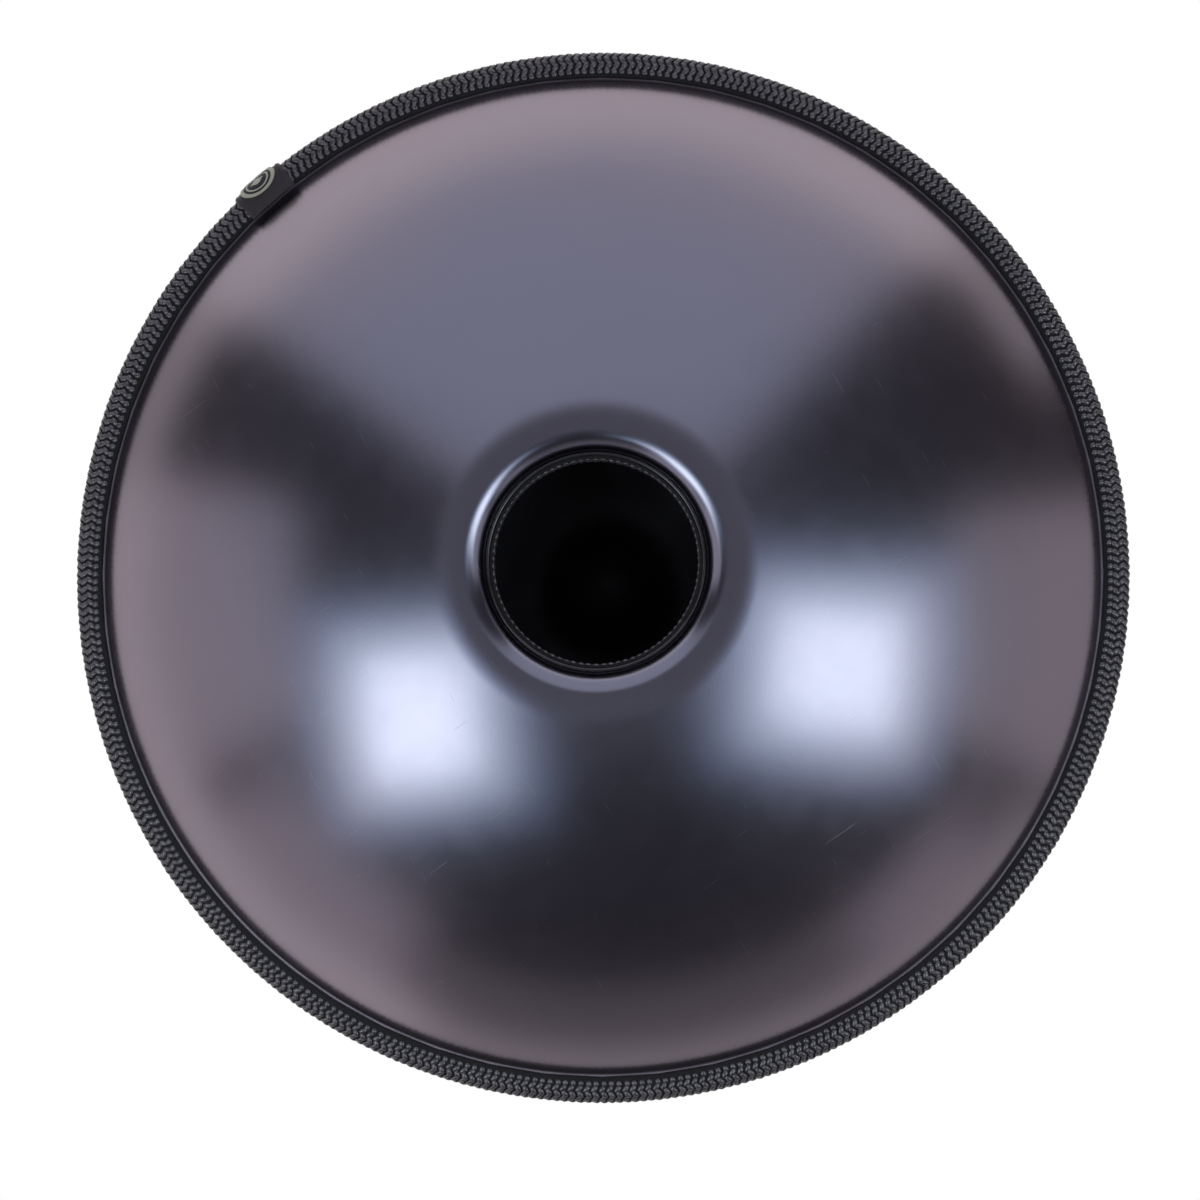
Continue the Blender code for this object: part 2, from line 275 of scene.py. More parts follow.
class Graph:
    """Short calls for building a node tree."""

    def __init__(self, tree):
        self.tree = tree

    def node(self, kind, inputs=None, **settings):
        made = self.tree.nodes.new(kind)
        for key, value in settings.items():
            setattr(made, key, value)
        for key, value in (inputs or {}).items():
            self.feed(made.inputs[key], value)
        return made

    def feed(self, socket, value):
        if isinstance(value, bpy.types.NodeSocket):
            self.tree.links.new(value, socket)
        else:
            socket.default_value = value

    def math(self, operation, *values):
        made = self.node("ShaderNodeMath", operation=operation)
        for socket, value in zip(made.inputs, values):
            self.feed(socket, value)
        return made.outputs[0]

    def step(self, value, low, high, start=0.0, end=1.0):
        """A smooth step from start to end as value goes from low to high."""
        made = self.node("ShaderNodeMapRange", interpolation_type="SMOOTHSTEP")
        for key, each in zip(range(5), (value, low, high, start, end)):
            self.feed(made.inputs[key], each)
        return made.outputs[0]

    def mix(self, share, first, second):
        made = self.node("ShaderNodeMix", data_type="RGBA")
        for key, each in ((0, share), (6, first), (7, second)):
            self.feed(made.inputs[key], rgba(each))
        return made.outputs[2]

    def noise(self, vector, scale, detail, roughness):
        inputs = {"Vector": vector, "Scale": scale, "Detail": detail, "Roughness": roughness}
        return self.node("ShaderNodeTexNoise", inputs).outputs["Fac"]

    def stretch(self, vector, scale, turn=(0.0, 0.0, 0.0)):
        return self.node("ShaderNodeMapping", {"Vector": vector, "Rotation": turn, "Scale": scale}).outputs[0]


def rgba(value):
    return (*value, 1.0) if isinstance(value, tuple) and len(value) == 3 else value


def new_material(name, **constants):
    """A Principled material and its graph. Values that are the same everywhere go on the shader's sockets."""
    made = bpy.data.materials.new(name)
    made.use_nodes = True
    shader = made.node_tree.nodes["Principled BSDF"]
    for key, value in constants.items():
        shader.inputs[key.replace("_", " ")].default_value = rgba(value)
    graph = Graph(made.node_tree)
    place = graph.node("ShaderNodeTexCoord").outputs["Object"]
    return made, graph, shader, place


def bumped(graph, shader, height, strength, distance):
    made = graph.node("ShaderNodeBump", {"Height": height, "Strength": strength, "Distance": distance})
    graph.feed(shader.inputs["Normal"], made.outputs[0])


def streaks(graph, place, turn, scale, low, high):
    """Sparse thin lines across one direction, as 0 to 1."""
    turned = graph.stretch(place, (1.0, 1.0, 1.0), (0.0, 0.0, turn))
    drawn = graph.noise(graph.stretch(turned, scale), 1.0, 2.0, 0.6)
    return graph.step(drawn, low, high)


# ---------------------------------------------------------------- materials


def steel_material():
    """Nitrided steel: a satin metal, blue-grey in the middle, mauve and duller at the rim, finely marked."""
    made, graph, shader, place = new_material("nitrided_steel", Metallic=1.0)
    axes = graph.node("ShaderNodeSeparateXYZ", {0: place})
    flat = graph.node("ShaderNodeCombineXYZ", {0: axes.outputs[0], 1: axes.outputs[1]})
    radius = graph.node("ShaderNodeVectorMath", {0: flat.outputs[0]}, operation="LENGTH").outputs["Value"]
    cloud = graph.noise(place, 5.0, 3.0, 0.55)
    drift = graph.math("ADD", radius, graph.math("MULTIPLY", graph.math("SUBTRACT", cloud, 0.5), 0.08))
    outward = graph.step(drift, 0.13, 0.262)
    colour = graph.mix(outward, (0.330, 0.335, 0.395), (0.385, 0.345, 0.375))
    stain = graph.step(graph.noise(place, 16.0, 4.0, 0.6), 0.35, 0.75)
    colour = graph.mix(graph.math("MULTIPLY", stain, 0.10), colour, (0.27, 0.29, 0.38))
    scratch = graph.math(
        "MAXIMUM",
        streaks(graph, place, 0.6, (22.0, 1000.0, 9.0), 0.735, 0.775),
        streaks(graph, place, 2.1, (30.0, 1200.0, 12.0), 0.74, 0.78),
    )
    colour = graph.mix(graph.math("MULTIPLY", scratch, 0.06), colour, (0.62, 0.62, 0.66))
    graph.feed(shader.inputs["Base Color"], colour)
    haze = graph.noise(place, 60.0, 3.0, 0.6)
    dulled = graph.step(radius, 0.2600, 0.2645, 0.225, 0.46)
    rough = graph.math("ADD", dulled, graph.math("MULTIPLY", graph.math("SUBTRACT", haze, 0.5), 0.06))
    rough = graph.math("ADD", rough, graph.math("MULTIPLY", graph.math("SUBTRACT", cloud, 0.5), 0.05))
    graph.feed(shader.inputs["Roughness"], graph.math("ADD", rough, graph.math("MULTIPLY", scratch, 0.12)))
    shader.inputs["Specular Tint"].default_value = (0.93, 0.84, 0.90, 1.0)
    grain = graph.noise(graph.stretch(place, (1.0, 0.35, 1.0)), 1400.0, 2.0, 0.5)
    height = graph.math("SUBTRACT", grain, graph.math("MULTIPLY", scratch, 0.25))
    bumped(graph, shader, height, 0.05, 0.0002)
    return made


def shaded_inside_material():
    """The inside of the shells: rougher unpolished steel, its colour darkened far below the outside's as
    painted shade, so the cavity reads black through the port.
    """
    made, graph, shader, place = new_material("steel_inside_painted_shade", Metallic=1.0)
    cloud = graph.noise(place, 30.0, 4.0, 0.6)
    graph.feed(shader.inputs["Base Color"], graph.mix(cloud, (0.055, 0.055, 0.058), (0.085, 0.083, 0.088)))
    graph.feed(shader.inputs["Roughness"], graph.step(cloud, 0.2, 0.8, 0.45, 0.62))
    return made


def braid_material():
    """Glossy black synthetic yarn with a fine grain, duller in patches."""
    made, graph, shader, place = new_material("black_braid", Metallic=0.45)
    fluff = graph.noise(place, 420.0, 3.0, 0.6)
    patch = graph.noise(place, 22.0, 2.0, 0.5)
    colour = graph.mix(graph.step(fluff, 0.35, 0.75), (0.080, 0.077, 0.078), (0.190, 0.184, 0.187))
    graph.feed(shader.inputs["Base Color"], colour)
    yarn = graph.step(fluff, 0.2, 0.8, 0.24, 0.42)
    rough = graph.math("ADD", yarn, graph.step(patch, 0.35, 0.75, -0.03, 0.08))
    graph.feed(shader.inputs["Roughness"], rough)
    shader.inputs["IOR"].default_value = 1.9
    shader.inputs["Specular IOR Level"].default_value = 0.85
    shader.inputs["Sheen Weight"].default_value = 0.05
    shader.inputs["Sheen Roughness"].default_value = 0.4
    bumped(graph, shader, graph.noise(place, 2600.0, 2.0, 0.6), 0.12, 0.00025)
    return made


def shaded_core_material():
    """The bed between the strands: near black, far darker than the strands' own black yarn, as painted shade
    in the gaps between them.
    """
    made, graph, shader, place = new_material("braid_core_painted_shade")
    fluff = graph.noise(place, 900.0, 2.0, 0.5)
    graph.feed(shader.inputs["Base Color"], graph.mix(fluff, (0.004, 0.004, 0.004), (0.012, 0.012, 0.012)))
    graph.feed(shader.inputs["Roughness"], graph.step(fluff, 0.2, 0.8, 0.6, 0.85))
    return made


def rubber_material():
    """Dark brown-grey shrink rubber with a fine grain."""
    made, graph, shader, place = new_material("sleeve_rubber")
    cloud = graph.noise(place, 160.0, 4.0, 0.6)
    colour = graph.mix(cloud, (0.042, 0.036, 0.038), (0.066, 0.058, 0.060))
    graph.feed(shader.inputs["Base Color"], colour)
    graph.feed(shader.inputs["Roughness"], graph.step(cloud, 0.25, 0.75, 0.40, 0.56))
    bumped(graph, shader, graph.noise(place, 1500.0, 3.0, 0.6), 0.18, 0.0002)
    return made


def enamel_material(name, light, dark, low, high):
    made, graph, shader, place = new_material(name)
    cloud = graph.noise(place, 700.0, 3.0, 0.6)
    graph.feed(shader.inputs["Base Color"], graph.mix(graph.step(cloud, 0.3, 0.75), light, dark))
    graph.feed(shader.inputs["Roughness"], graph.step(cloud, 0.3, 0.7, low, high))
    bumped(graph, shader, graph.noise(place, 2200.0, 2.0, 0.5), 0.12, 0.0001)
    return made


def glue_material():
    made, graph, shader, place = new_material("cured_glue")
    cloud = graph.noise(place, 300.0, 2.0, 0.5)
    graph.feed(shader.inputs["Base Color"], graph.mix(cloud, (0.020, 0.020, 0.021), (0.040, 0.038, 0.037)))
    graph.feed(shader.inputs["Roughness"], graph.step(cloud, 0.3, 0.7, 0.07, 0.14))
    shader.inputs["IOR"].default_value = 1.8
    bumped(graph, shader, graph.noise(place, 500.0, 2.0, 0.5), 0.06, 0.0002)
    return made


STEEL_LOOK = steel_material()
SHADED_INSIDE_LOOK = shaded_inside_material()
BRAID_LOOK = braid_material()
SHADED_CORE_LOOK = shaded_core_material()
RUBBER_LOOK = rubber_material()
CREAM_LOOK = enamel_material("badge_cream", (0.66, 0.68, 0.50), (0.56, 0.58, 0.42), 0.28, 0.42)
FIELD_LOOK = enamel_material("badge_field", (0.035, 0.038, 0.040), (0.020, 0.022, 0.024), 0.30, 0.45)
GLUE_LOOK = glue_material()


# ---------------------------------------------------------------- shells

SHELL_TURN = 320


def bottom_shell():
    face = [(PORT_RADIUS, z) for z in spaced(NECK_HEIGHT, LIP_ROLL, 6)[:-1]]
    face += arc(CREST_RADIUS, LIP_ROLL, LIP_ROLL, 180, 270, 30)
    face += [(r, 0.0) for r in spaced(CREST_RADIUS, BLEND_START, 3)[1:]]
    for r in spaced(BLEND_START, BLEND_END, 12)[1:]:
        face.append((r, BLEND_SLOPE / LIP_BLEND * (r - BLEND_START) ** 2 / 2))
    for r in spaced(BLEND_END, DOME_RADIUS, 84)[1:]:
        face.append((r, BOTTOM_MIDDLE_Z + BOTTOM_DEPTH * dome_rise(r)))
    tilt = math.degrees(root_tilt(BOTTOM_DEPTH))
    face += arc(BOTTOM_FILLET_R, BOTTOM_FLANGE_Z - ROOT_FILLET, ROOT_FILLET, 90 + tilt, 90, 10)[1:]
    face += [(r, BOTTOM_FLANGE_Z) for r in spaced(BOTTOM_FILLET_R, FLANGE_RADIUS, 4)[1:]]
    back = shifted(face, STEEL)[::-1]
    # The inside keeps every third ring over its smooth dome.
    kept = back[:5] + back[5:-40:3] + back[-40:]
    points, faces = lathe(face + kept, SHELL_TURN)
    outer = len(face) * SHELL_TURN
    inside = [0 if i < outer else 1 for i in range(len(faces))]
    shell = add_mesh("bottom_shell_fine", points, faces, [STEEL_LOOK, SHADED_INSIDE_LOOK], 50, inside)
    return finish_piece(shell, "steel", "bottom_shell")


def top_shell():
    top_z = TOP_FLANGE_Z + STEEL
    root_z = top_z + TOP_ROOT_RISE
    tilt = math.degrees(root_tilt(TOP_DEPTH))
    face = [(r, top_z) for r in spaced(FLANGE_RADIUS, TOP_FILLET_R, 4)[:-1]]
    face += arc(TOP_FILLET_R, top_z + ROOT_FILLET, ROOT_FILLET, 270, 270 - tilt, 10)
    for r in spaced(DOME_RADIUS, 0.0, 130)[1:]:
        face.append((r, root_z + TOP_DEPTH * (1 - dome_rise(r))))
    back = shifted(face, STEEL)[::-1]
    back[0] = (0.0, back[0][1])
    kept = [back[0]] + back[2:-20:3] + back[-20:]
    points, faces = lathe(face + kept, SHELL_TURN, lift=top_relief)
    outer = (len(face) - 1) * SHELL_TURN
    inside = [0 if i < outer else 1 for i in range(len(faces))]
    shell = add_mesh("top_shell_fine", points, faces, [STEEL_LOOK, SHADED_INSIDE_LOOK], 50, inside)
    return finish_piece(shell, "steel", "top_shell")


# ---------------------------------------------------------------- plaited trim


class Track:
    """A section line that strands lie on: place by distance along it, with its outward direction."""

    def __init__(self, section):
        self.line = np.array(section)
        lengths = np.linalg.norm(np.diff(self.line, axis=0), axis=1)
        self.reach = np.concatenate([[0.0], np.cumsum(lengths)])
        self.length = self.reach[-1]

    def at(self, s):
        """r, z, and the outward direction's r and z, for an array of distances."""
        s = np.clip(s, 0.0, self.length)
        r = np.interp(s, self.reach, self.line[:, 0])
        z = np.interp(s, self.reach, self.line[:, 1])
        before = np.clip(s - 2e-4, 0.0, self.length)
        after = np.clip(s + 2e-4, 0.0, self.length)
        dr = np.interp(after, self.reach, self.line[:, 0]) - np.interp(before, self.reach, self.line[:, 0])
        dz = np.interp(after, self.reach, self.line[:, 1]) - np.interp(before, self.reach, self.line[:, 1])
        size = np.hypot(dr, dz)
        return r, z, dz / size, -dr / size


# A strand's float: rings along it (place, width share), and the points round each ring.
FLOAT_RINGS = ((-0.66, 0.80), (0.0, 1.0), (0.66, 0.80))
FLOAT_ROUND = ((1.0, 0.0), (0.66, 0.80), (0.0, 1.0), (-0.66, 0.80), (-1.0, 0.0), (0.0, -0.55))


def float_shape():
    """A rounded lozenge: its points along, across and up, each within -1 to 1, and its faces."""
    points = [(-1.0, 0.0, 0.15)]
    for along, share in FLOAT_RINGS:
        points += [(along, across * share, up * share) for across, up in FLOAT_ROUND]
    points.append((1.0, 0.0, 0.15))
    sides = len(FLOAT_ROUND)
    faces = [(0, 1 + (j + 1) % sides, 1 + j) for j in range(sides)]
    for i in range(len(FLOAT_RINGS) - 1):
        a, b = 1 + i * sides, 1 + (i + 1) * sides
        faces += [(a + j, a + (j + 1) % sides, b + (j + 1) % sides, b + j) for j in range(sides)]
    last = len(points) - 1
    a = last - sides
    faces += [(last, a + j, a + (j + 1) % sides) for j in range(sides)]
    return np.array(points), faces


def plaited(track, ring_radius, units, columns, start, end, wander, seed):
    """Floats in columns along the track and in units round the ring, from angle start to end."""
    draw = random.Random(seed)
    shape, shape_faces = float_shape()
    points = []
    faces = []
    width = track.length / columns
    pitch = (end - start) / units
    for column in range(columns):
        edge = column in (0, columns - 1)
        lean = 1 if column % 2 else -1
        phase = 0.25 * (column % 2)
        for unit in range(units):
            angle = start + pitch * (unit + 0.5 + phase) + draw.uniform(-0.05, 0.05) * pitch
            middle = width * (column + 0.5) + draw.uniform(-0.04, 0.04) * width
            if edge:
                half_s, half_t = width * 0.60, STRAND_PITCH * 0.16 * lean
                broad, high = STRAND_PITCH * 0.43, EDGE_STRAND_HEIGHT
            else:
                half_s, half_t = width * 0.66, STRAND_PITCH * (0.40 + draw.uniform(-0.05, 0.05)) * lean
                broad, high = STRAND_PITCH * 0.38, STRAND_HEIGHT
            high *= draw.uniform(0.9, 1.06)
            size = math.hypot(half_s, half_t)
            along_s, along_t = half_s / size, half_t / size
            s = middle + shape[:, 0] * half_s - shape[:, 1] * broad * along_t
            t = shape[:, 0] * half_t + shape[:, 1] * broad * along_s
            bow = 1 - 0.35 * shape[:, 0] ** 2
            if edge:
                # The strand turns back at the edge, so this float stops there as a round loop.
                s = np.clip(s, -0.0002, track.length + 0.0002)
            r, z, out_r, out_z = track.at(s)
            rise = shape[:, 2] * high * bow + draw.uniform(-0.00006, 0.00006)
            shift = wander(angle, s)
            turn = angle + t / ring_radius
            r = r + out_r * rise + shift
            z = z + out_z * rise
            first = len(points)
            points.extend(zip(r * np.cos(turn), r * np.sin(turn), z))
            faces.extend(tuple(first + k for k in face) for face in shape_faces)
    return points, faces


def rim_section(half, leg_end, corner, leg_steps, nose_steps):
    """The outside of the U, from the lower leg's inner end round the nose to the upper leg's."""
    lower = [(leg_end, -half + corner)] if corner else []
    lower += [(r, -half) for r in spaced(leg_end + corner, NOSE_RADIUS, leg_steps)]
    nose = arc(NOSE_RADIUS, 0.0, half, -90, 90, nose_steps)[1:]
    upper = [(r, half) for r in spaced(NOSE_RADIUS, leg_end + corner, leg_steps)[1:]]
    upper += [(leg_end, half - corner)] if corner else []
    return [(r, FLANGE_MID_Z + z) for r, z in lower + nose + upper]


def open_lathe(section, angles):
    """A closed section turned through the angles, with flat ends."""
    points = []
    for r, z in section:
        points += [(r * math.cos(a), r * math.sin(a), z) for a in angles]
    count = len(angles)
    faces = []
    for i in range(len(section)):
        k = (i + 1) % len(section)
        for j in range(count - 1):
            faces.append((i * count + j, i * count + j + 1, k * count + j + 1, k * count + j))
    faces.append(tuple(i * count for i in range(len(section))))
    faces.append(tuple(i * count + count - 1 for i in reversed(range(len(section)))))
    return points, faces


def fold_wander(angle, s):
    """How much further out the lower leg's edge sits: two narrower stretches and a ripple all round."""
    wide = 0.0011 * (0.5 + 0.5 * math.cos(angle - 2.3)) ** 8
    narrow = 0.0005 * (0.5 + 0.5 * math.cos(angle - 1.0)) ** 8
    ripple = 0.00022 * math.sin(9 * angle + 1.0) + 0.00012 * math.sin(23 * angle)
    share = np.clip(1 - s / 0.0095, 0.0, 1.0)
    return (wide + narrow + ripple) * share


def no_wander(angle, s):
    return 0.0


def rim_braid():
    joint = BRAID_JOINT_GAP / 2 / RIM_RADIUS
    start, end = SLEEVE_ANGLE + joint, SLEEVE_ANGLE - joint + 2 * math.pi
    bed_end = TRIM_INNER_RADIUS + BED_SETBACK
    outside = rim_section(BRAID_HALF - BED_DEPTH, bed_end, BED_CORNER, 3, 12)
    inner = [(r, FLANGE_MID_Z + BRAID_INSIDE) for r in (bed_end, BRAID_INSIDE_RADIUS)]
    inner += [(r, 2 * FLANGE_MID_Z - z) for r, z in reversed(inner)]
    points, faces = open_lathe(outside + inner, spaced(start, end, 240))
    looks = [1] * len(faces)
    line = rim_section(BRAID_HALF - STRAND_HEIGHT, TRIM_INNER_RADIUS + BARE_EDGE, 0.0, 12, 30)
    track = Track(line)
    units = round(RIM_RADIUS * (end - start) / STRAND_PITCH)
    columns = round(track.length / COLUMN_WIDTH)
    more, more_faces = plaited(track, RIM_RADIUS, units, columns, start, end, fold_wander, 5)
    shift = len(points)
    points += more
    faces += [tuple(shift + k for k in face) for face in more_faces]
    looks += [0] * len(more_faces)
    braid = add_mesh("rim_braid_plaited", points, faces, [BRAID_LOOK, SHADED_CORE_LOOK], 0, looks)
    return finish_piece(braid, "braid", "rim_braid")


def port_section(half, foot, crown, leg_steps, nose_steps):
    """The outside of the U over the neck's end, from the inner leg's foot over the crown to the outer's."""
    centre = crown - half
    inner = [(-half, z) for z in spaced(foot, centre, leg_steps)]
    over = arc(0.0, centre, half, 180, 0, nose_steps)[1:]
    outer = [(half, z) for z in spaced(centre, foot, leg_steps)[1:]]
    return [(NECK_MID_RADIUS + w, z) for w, z in inner + over + outer]


def port_braid():
    foot = PORT_FOOT_Z + PORT_BED_SETBACK
    outside = port_section(PORT_BRAID_HALF - BED_DEPTH, foot, PORT_CROWN_Z - BED_DEPTH, 3, 12)
    shoulder = NECK_HEIGHT + GAP + ADHESIVE + GAP
    inner = [(NECK_MID_RADIUS + PORT_BRAID_INSIDE, z) for z in (foot, shoulder)]
    inner += [(NECK_MID_RADIUS - PORT_BRAID_INSIDE, z) for z in (shoulder, foot)]
    points, faces = lathe((outside + inner)[::-1], 160)
    looks = [1] * len(faces)
    half = PORT_BRAID_HALF - STRAND_HEIGHT
    line = port_section(half, PORT_FOOT_Z + PORT_STRAND_SETBACK, PORT_CROWN_Z - STRAND_HEIGHT, 12, 30)
    track = Track(line[::-1])
    units = round(2 * math.pi * NECK_MID_RADIUS / STRAND_PITCH)
    columns = round(track.length / COLUMN_WIDTH)
    more, more_faces = plaited(
        track, NECK_MID_RADIUS, units, columns, 0.0, 2 * math.pi, no_wander, 8)
    shift = len(points)
    points += more
    faces += [tuple(shift + k for k in face) for face in more_faces]
    looks += [0] * len(more_faces)
    braid = add_mesh("port_braid_plaited", points, faces, [BRAID_LOOK, SHADED_CORE_LOOK], 0, looks)
    return finish_piece(braid, "braid", "port_braid")


def port_adhesive():
    """The thin U under the port's braid, and the smooth bead squeezed out at its foot."""
    inside = PORT_ADHESIVE_INSIDE
    outside = inside + ADHESIVE
    top = NECK_HEIGHT + GAP
    widths = [(outside, PORT_FOOT_Z), (outside, top + ADHESIVE), (-outside, top + ADHESIVE)]
    tuck = PORT_FOOT_Z + BEAD_TUCK
    bead = arc(-BEAD_CENTRE, PORT_FOOT_Z - BEAD_RADIUS, BEAD_RADIUS, 180, 350, 16)
    widths += [(-outside, tuck)] + bead
    widths += [(-inside, tuck), (-inside, top), (inside, top), (inside, PORT_FOOT_Z)]
    points, faces = lathe([(NECK_MID_RADIUS + w, z) for w, z in widths], 240)
    glue = add_mesh("port_glue_bead", points, faces, [GLUE_LOOK], 40)
    return finish_piece(glue, "glue", "port_trim_adhesive")


# ---------------------------------------------------------------- sleeve and badge


def trim_sleeve():
    """A short U tube with a hem and a pressed groove near each end, thin at its ends, faintly rippled."""
    inside = BRAID_HALF + GAP
    leg_end = TRIM_INNER_RADIUS - SLEEVE_OVERHANG
    half = SLEEVE_LENGTH / 2
    lengths = [half * math.sin(math.pi / 2 * v) for v in spaced(-1, 1, 44)]
    points = []
    for along in lengths:
        near = half - abs(along)
        hem = 0.00028 * math.exp(-((near - 0.0013) / 0.0008) ** 2)
        seam = 0.00030 * math.exp(-((near - 0.0030) / 0.00045) ** 2)
        curl = 0.0009 * (1 - min(1.0, near / 0.0022)) ** 2
        wall = SLEEVE_WALL - seam + hem * 0.6 - curl
        ring = []
        outer = inside + wall
        line = [(leg_end + 0.0004, outer - 0.0002), (leg_end + 0.0008, outer)]
        line += [(r, outer) for r in spaced(leg_end + 0.0016, NOSE_RADIUS, 5)]
        line += arc(NOSE_RADIUS, 0.0, outer, 90, -90, 20)[1:]
        line += [(r, -outer) for r in spaced(NOSE_RADIUS, leg_end + 0.0016, 5)[1:]]
        line += [(leg_end + 0.0008, -outer), (leg_end + 0.0004, -outer + 0.0002)]
        back = [(leg_end + 0.0002, -inside), (NOSE_RADIUS, -inside)]
        back += arc(NOSE_RADIUS, 0.0, inside, -90, 90, 12)[1:]
        back += [(leg_end + 0.0002, inside)]
        turn = SLEEVE_ANGLE + along / RIM_RADIUS
        for r, z in line + back:
            ripple = 0.00006 * math.sin(900 * along + 300 * z) * math.sin(1100 * r)
            ring.append(((r + ripple) * math.cos(turn), (r + ripple) * math.sin(turn), FLANGE_MID_Z + z))
        points += ring
    across = len(ring)
    faces = []
    for i in range(len(lengths) - 1):
        for j in range(across):
            k = (j + 1) % across
            faces.append((i * across + j, i * across + k, (i + 1) * across + k, (i + 1) * across + j))
    faces.append(tuple(range(across))[::-1])
    last = (len(lengths) - 1) * across
    faces.append(tuple(last + j for j in range(across)))
    sleeve = add_mesh("trim_sleeve_fine", points, faces, [RUBBER_LOOK], 50)
    return finish_piece(sleeve, "sleeve", "trim_sleeve")


def badge_level(share, along, across):
    """Relief of the badge, and which finish: cream on the rim and the plain lozenge, dark between."""
    lozenge = abs(along) + abs(across) * 1.55
    if share > 0.80:
        return (BADGE_RIM_RISE if share < 0.965 else 0.0), 0
    if 0.56 < share < 0.64:
        return 0.00014, 0
    if lozenge < 0.36:
        return 0.00018, 0
    return 0.0, 1


def badge():
    """An oval plate wrapped over the sleeve, with a raised rim, an inner ring and a plain lozenge."""
    under = BRAID_HALF + GAP + SLEEVE_WALL + GAP
    rings = [0.0, 0.08, 0.16, 0.24, 0.30, 0.36, 0.42, 0.50, 0.555, 0.57, 0.60, 0.635, 0.65, 0.72, 0.79,
             0.81, 0.86, 0.92, 0.96, 0.985, 1.0]
    spokes = 96
    points = []
    sides = []
    kinds = {}
    for upper in (False, True):
        rows = []
        for share in rings:
            row = []
            for j in range(spokes if share else 1):
                a = 2 * math.pi * j / spokes
                along = share * math.cos(a)
                across = share * math.sin(a)
                rise, kind = badge_level(share, along, across)
                level = under
                if upper:
                    edge = 0.00025 * max(0.0, (share - 0.96) / 0.04) ** 2
                    level = under + BADGE_THICKNESS - BADGE_RIM_RISE + rise - edge
                turn = BADGE_TURN + BADGE_HEIGHT / 2 * across / (under + BADGE_THICKNESS / 2)
                r = NOSE_RADIUS + level * math.sin(turn)
                z = FLANGE_MID_Z - level * math.cos(turn)
                angle = SLEEVE_ANGLE + BADGE_LENGTH / 2 * along / (NOSE_RADIUS + under)
                kinds[len(points)] = kind if upper else 1
                row.append(len(points))
                points.append((r * math.cos(angle), r * math.sin(angle), z))
            rows.append(row if share else row * spokes)
        sides.append(rows)
    faces = []
    for upper, rows in enumerate(sides):
        for i in range(len(rings) - 1):
            for j in range(spokes):
                k = (j + 1) % spokes
                corners = [rows[i][j], rows[i + 1][j], rows[i + 1][k], rows[i][k]]
                if i == 0:
                    corners = corners[:3]
                faces.append(tuple(corners if not upper else corners[::-1]))
    lower, upper = sides[0][-1], sides[1][-1]
    for j in range(spokes):
        k = (j + 1) % spokes
        faces.append((lower[j], upper[j], upper[k], lower[k]))
    looks = [1 if sum(kinds[v] for v in face) * 2 > len(face) else 0 for face in faces]
    plate = add_mesh("badge_plate", points, faces, [CREAM_LOOK, FIELD_LOOK], 40, looks)
    return finish_piece(plate, "badge", "badge")


# ---------------------------------------------------------------- camera, light, floor

RIM_CENTRE = Vector((0.0, 0.0, FLANGE_MID_Z))
CAMERA_DISTANCE = 2.6
CAMERA_DIRECTION = Vector((0.034, 0.076, -1.0)).normalized()
PIXELS_TO_RIM = 4895.0
RIM_IN_FRAME = (1.4, 26.1)


def camera():
    """Below the part and a little towards +X and +Y, with the rim just above the frame's middle."""
    forward = -CAMERA_DIRECTION
    right = forward.cross(Vector((0.0, -1.0, 0.0))).normalized()
    up = right.cross(forward)
    aim = forward - right * (RIM_IN_FRAME[0] / PIXELS_TO_RIM) - up * (RIM_IN_FRAME[1] / PIXELS_TO_RIM)
    aim.normalize()
    right = aim.cross(up).normalized()
    up = right.cross(aim)
    data = bpy.data.cameras.new("camera")
    data.lens = 36.0 * PIXELS_TO_RIM / 1200.0
    data.sensor_width = 36.0
    data.clip_start = 0.05
    data.clip_end = 100.0
    made = bpy.data.objects.new("camera", data)
    turn = Matrix((right, up, -aim)).transposed().to_4x4()
    made.matrix_world = Matrix.Translation(RIM_CENTRE + CAMERA_DISTANCE * CAMERA_DIRECTION) @ turn
    bpy.context.scene.collection.objects.link(made)
    bpy.context.scene.camera = made


def soft_light(name, aim, towards, distance, width, height, power, colour):
    place = Vector(aim) + distance * Vector(towards).normalized()
    data = bpy.data.lights.new(name, "AREA")
    data.shape = "RECTANGLE"
    data.size = width
    data.size_y = height
    data.energy = power
    data.color = colour
    made = bpy.data.objects.new(name, data)
    back = Vector(towards).normalized()
    across = Vector((0.0, 1.0, 0.0)).cross(back).normalized()
    turn = Matrix((across, back.cross(across), back)).transposed().to_4x4()
    made.matrix_world = Matrix.Translation(place) @ turn
    bpy.context.scene.collection.objects.link(made)


